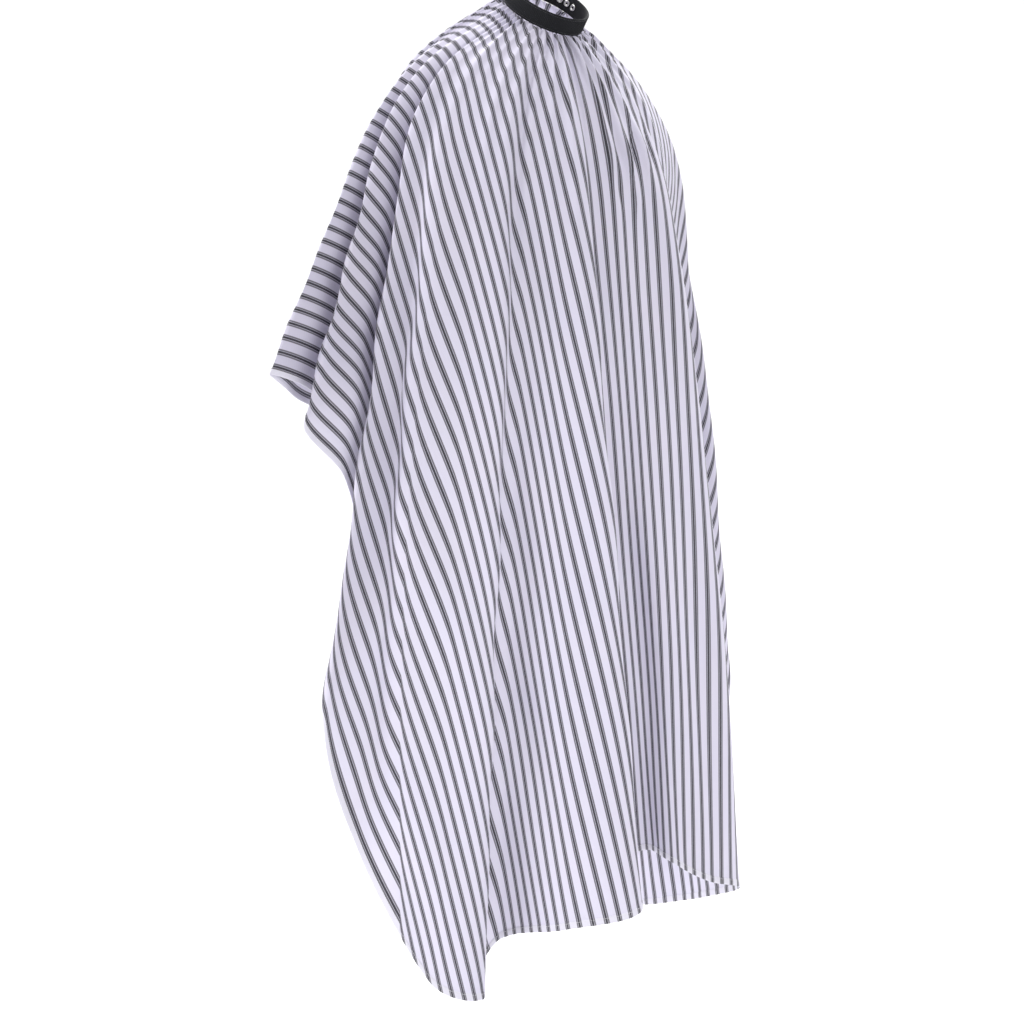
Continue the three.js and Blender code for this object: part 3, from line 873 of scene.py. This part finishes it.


# %% [markdown]
# The stripes are woven in, one group every 19.3 mm: a dark middle line with a grey line hard
# on each side, and a hair of white between. Distance from the middle of the nearest group
# decides the colour. A small wobble keeps the edges of the lines from looking ruled, and the
# pale ground is mottled a little between a cooler and a warmer tone. The weave shows as a
# bump, and as painted shade: the ground is darkened a little in step with the weave's height.
# Its waves are 2.4 mm long, coarser than real threads, so that they aren't lost at the camera's
# distance.

# %% Striped cloth
STRIPE_PITCH = 0.0193
GROUND = (0.640, 0.625, 0.760, 1)
GROUND_WARM = (0.700, 0.665, 0.770, 1)
DARK_LINE = (0.014, 0.013, 0.018, 1)
GREY_LINE = (0.075, 0.071, 0.085, 1)
DARK_HALF_WIDTH = 0.00165
GREY_MIDDLE = 0.00290
GREY_HALF_WIDTH = 0.00125
LINE_SOFTNESS = 0.0004
WOBBLE = 0.0004
WEAVE_PHASE = 2600
LIGHT_THROUGH = 0.22


def weave_height(tree, across, along_cloth):
    wave_u = math_node(tree, "SINE", math_node(tree, "MULTIPLY", across, WEAVE_PHASE))
    wave_v = math_node(tree, "SINE", math_node(tree, "MULTIPLY", along_cloth, WEAVE_PHASE))
    return math_node(tree, "MULTIPLY", wave_u, wave_v)


def line_mask(tree, distance, centre, half_width, softness):
    off = math_node(tree, "ABSOLUTE", math_node(tree, "SUBTRACT", distance, centre))
    inside = math_node(tree, "SUBTRACT", half_width, off)
    return math_node(tree, "DIVIDE", inside, softness, clamp=True)


def striped_cloth(name, ground_a, ground_b, roughness):
    material, tree, shader = new_material(
        name, roughness, Sheen_Weight=0.25, Sheen_Roughness=0.4, Specular_IOR_Level=0.35
    )
    place, u, v = flat_place(tree)
    wobble = add(tree, "ShaderNodeTexNoise", noise_dimensions="3D")
    wobble.inputs["Scale"].default_value = 900
    tree.links.new(place, wobble.inputs["Vector"])
    shift = math_node(tree, "MULTIPLY", math_node(tree, "SUBTRACT", wobble.outputs[0], 0.5), WOBBLE)
    distance = math_node(tree, "PINGPONG", math_node(tree, "ADD", u, shift), STRIPE_PITCH / 2)
    dark = line_mask(tree, distance, 0.0, DARK_HALF_WIDTH, LINE_SOFTNESS)
    grey = line_mask(tree, distance, GREY_MIDDLE, GREY_HALF_WIDTH, LINE_SOFTNESS)

    mottle = add(tree, "ShaderNodeTexNoise", noise_dimensions="3D")
    mottle.inputs["Scale"].default_value = 9
    mottle.inputs["Detail"].default_value = 5
    tree.links.new(place, mottle.inputs["Vector"])
    ground = mix_colour(tree, mottle.outputs[0], ground_a, ground_b)
    weave = weave_height(tree, u, v)
    # Painted shade: the pale ground is darkened a little in step with the weave's height.
    painted_weave_shade = math_node(tree, "ADD", math_node(tree, "MULTIPLY", weave, 0.06), 0.06)
    ground = mix_colour(tree, painted_weave_shade, ground, (0.55, 0.53, 0.64, 1))
    colour = mix_colour(tree, math_node(tree, "MULTIPLY", grey, 0.85), ground, GREY_LINE)
    colour = mix_colour(tree, math_node(tree, "MULTIPLY", dark, 0.95), colour, DARK_LINE)
    tree.links.new(colour, shader.inputs["Base Color"])

    uneven = math_node(tree, "MULTIPLY_ADD", mottle.outputs[0], 0.14)
    uneven.node.inputs[2].default_value = roughness - 0.07
    tree.links.new(uneven, shader.inputs["Roughness"])
    bump = add(tree, "ShaderNodeBump")
    bump.inputs["Strength"].default_value = 0.25
    bump.inputs["Distance"].default_value = 0.0002
    tree.links.new(weave, bump.inputs["Height"])
    tree.links.new(bump.outputs[0], shader.inputs["Normal"])

    through = add(tree, "ShaderNodeBsdfTranslucent")
    tree.links.new(colour, through.inputs["Color"])
    tree.links.new(bump.outputs[0], through.inputs["Normal"])
    mixed = add(tree, "ShaderNodeMixShader")
    mixed.inputs[0].default_value = LIGHT_THROUGH
    tree.links.new(shader.outputs[0], mixed.inputs[1])
    tree.links.new(through.outputs[0], mixed.inputs[2])
    tree.links.new(mixed.outputs[0], tree.nodes["Material Output"].inputs["Surface"])
    return material


cloth_material = striped_cloth("striped polyester", GROUND, GROUND_WARM, 0.55)
sheet.data.materials.append(cloth_material)

# %% [markdown]
# The hems are the same cloth, but doubled, so less light comes through and they look a touch
# whiter. The stripes run on into them as short dashes.

# %% Hem cloth
HEM_LIGHT_THROUGH = 0.06
HEM_GROUND = (0.72, 0.70, 0.81, 1)
HEM_GROUND_WARM = (0.77, 0.75, 0.83, 1)
hem_material = striped_cloth("turned hem", HEM_GROUND, HEM_GROUND_WARM, 0.6)
hem_material.node_tree.nodes["Mix Shader"].inputs[0].default_value = HEM_LIGHT_THROUGH
for piece in hems:
    piece.data.materials.append(hem_material)


# %% [markdown]
# Sewing thread is two fine plies twisted together. Slanted bands along the thread give that
# twist as a bump, on white polyester for the hems and on black for the band. The same bands are
# painted into the colour as light: painted shade on the white thread, painted highlight on the black.


# %% Threads
def thread_material(name, colour, painted_twist_tone):
    material, tree, shader = new_material(name, 0.5, Sheen_Weight=0.15)
    place = add(tree, "ShaderNodeTexCoord").outputs["Object"]
    twist = add(tree, "ShaderNodeTexWave", wave_type="BANDS", bands_direction="DIAGONAL")
    twist.inputs["Scale"].default_value = 900
    twist.inputs["Distortion"].default_value = 1.5
    tree.links.new(place, twist.inputs["Vector"])
    # Painted light: the twist bands darken the white thread and lighten the black one.
    tree.links.new(mix_colour(tree, twist.outputs["Fac"], colour, painted_twist_tone), shader.inputs["Base Color"])
    bump = add(tree, "ShaderNodeBump")
    bump.inputs["Strength"].default_value = 0.4
    bump.inputs["Distance"].default_value = 0.0001
    tree.links.new(twist.outputs["Fac"], bump.inputs["Height"])
    tree.links.new(bump.outputs[0], shader.inputs["Normal"])
    return material


white_thread = thread_material("white thread", (0.82, 0.81, 0.86, 1), (0.66, 0.65, 0.70, 1))
black_thread = thread_material("black thread", (0.020, 0.021, 0.026, 1), (0.045, 0.046, 0.055, 1))
for piece in hem_threads:
    piece.data.materials.append(white_thread)
for piece in band_threads:
    piece.data.materials.append(black_thread)


# %% [markdown]
# The elastic is a dull blue-black. Rubber threads wrapped in polyester make the ribs, and the
# wrapping shows as fine rings across each rib. The tops of the ribs get a painted highlight: a
# slightly lighter colour, in patches. The tape inside is the same black in a plain soft weave,
# with the same painted bands at the rib pitch.


# %% Band materials
def band_material(name, base, patch_and_highlight, rings_per_metre, strength):
    material, tree, shader = new_material(
        name, 0.72, Sheen_Weight=0.03, Sheen_Roughness=0.4, Specular_IOR_Level=0.3
    )
    place, travel, height = flat_place(tree)
    wrap_phase = math_node(tree, "MULTIPLY", height, rings_per_metre * 2 * math.pi)
    wrap = math_node(tree, "SINE", wrap_phase)
    fuzz = add(tree, "ShaderNodeTexNoise", noise_dimensions="3D")
    fuzz.inputs["Scale"].default_value = 420
    fuzz.inputs["Detail"].default_value = 4
    tree.links.new(place, fuzz.inputs["Vector"])
    # Painted highlight: the rib tops get a slightly lighter colour, in patches from the fuzz.
    rib_phase = math_node(tree, "MULTIPLY", travel, 2 * math.pi * 1000 / RIB_PITCH)
    rib = math_node(tree, "COSINE", rib_phase)
    rib_top_highlight = math_node(tree, "MULTIPLY_ADD", rib, -0.3)
    rib_top_highlight.node.inputs[2].default_value = 0.3
    share = math_node(tree, "MULTIPLY", rib_top_highlight, fuzz.outputs[0], clamp=True)
    tree.links.new(mix_colour(tree, share, base, patch_and_highlight), shader.inputs["Base Color"])
    rough = math_node(tree, "MULTIPLY_ADD", fuzz.outputs[0], 0.2)
    rough.node.inputs[2].default_value = 0.68
    tree.links.new(rough, shader.inputs["Roughness"])
    relief = math_node(tree, "ADD", math_node(tree, "MULTIPLY", wrap, 0.4), fuzz.outputs[0])
    bump = add(tree, "ShaderNodeBump")
    bump.inputs["Strength"].default_value = strength
    bump.inputs["Distance"].default_value = 0.0002
    tree.links.new(relief, bump.inputs["Height"])
    tree.links.new(bump.outputs[0], shader.inputs["Normal"])
    return material


elastic_material = band_material(
    "black ribbed elastic", (0.0030, 0.0034, 0.0050, 1), (0.018, 0.020, 0.027, 1), 1600, 0.6
)
tape_material = band_material(
    "black tape", (0.005, 0.005, 0.007, 1), (0.015, 0.015, 0.019, 1), 900, 0.35
)
for piece in (elastic, tab_elastic):
    piece.data.materials.append(elastic_material)
for piece in (lining, tab_tape):
    piece.data.materials.append(tape_material)


# %% [markdown]
# The caps are black enamel with a soft gloss and a few slightly lighter patches. The other snap
# parts are nickel plate: bright, with a faint fine grain and a few duller patches.


# %% Snap materials
def snap_material(name, colour, patch_and_highlight, metallic, roughness, coat):
    material, tree, shader = new_material(name, roughness, Metallic=metallic, Coat_Weight=coat)
    place = add(tree, "ShaderNodeTexCoord").outputs["Object"]
    patches = add(tree, "ShaderNodeTexNoise", noise_dimensions="3D")
    patches.inputs["Scale"].default_value = 700
    patches.inputs["Detail"].default_value = 6
    tree.links.new(place, patches.inputs["Vector"])
    tree.links.new(mix_colour(tree, patches.outputs[0], colour, patch_and_highlight), shader.inputs["Base Color"])
    rough = math_node(tree, "MULTIPLY_ADD", patches.outputs[0], 0.25)
    rough.node.inputs[2].default_value = roughness - 0.1
    tree.links.new(rough, shader.inputs["Roughness"])
    bump = add(tree, "ShaderNodeBump")
    bump.inputs["Strength"].default_value = 0.15
    bump.inputs["Distance"].default_value = 0.00005
    tree.links.new(patches.outputs[0], bump.inputs["Height"])
    tree.links.new(bump.outputs[0], shader.inputs["Normal"])
    return material


nickel = snap_material(
    "nickel plate", (0.74, 0.73, 0.71, 1), (0.58, 0.57, 0.55, 1), 1.0, 0.26, 0.0
)
enamel = snap_material(
    "black enamel", (0.012, 0.012, 0.015, 1), (0.035, 0.035, 0.04, 1), 0.2, 0.35, 0.3
)
for piece in snap_metal:
    piece.data.materials.append(nickel)
for piece in snap_caps:
    piece.data.materials.append(enamel)

# %% [markdown]
# The studio floor is matt and almost white, with the faintest unevenness so that it takes the
# light like painted board.

# %% Floor material
floor_material, floor_tree, floor_shader = new_material("pale floor", 0.9)
floor_noise = add(floor_tree, "ShaderNodeTexNoise", noise_dimensions="3D")
floor_noise.inputs["Scale"].default_value = 1.5
floor_tree.links.new(
    mix_colour(floor_tree, floor_noise.outputs[0], (0.90, 0.90, 0.90, 1), (0.93, 0.93, 0.93, 1)),
    floor_shader.inputs["Base Color"],
)
floor.data.materials.append(floor_material)
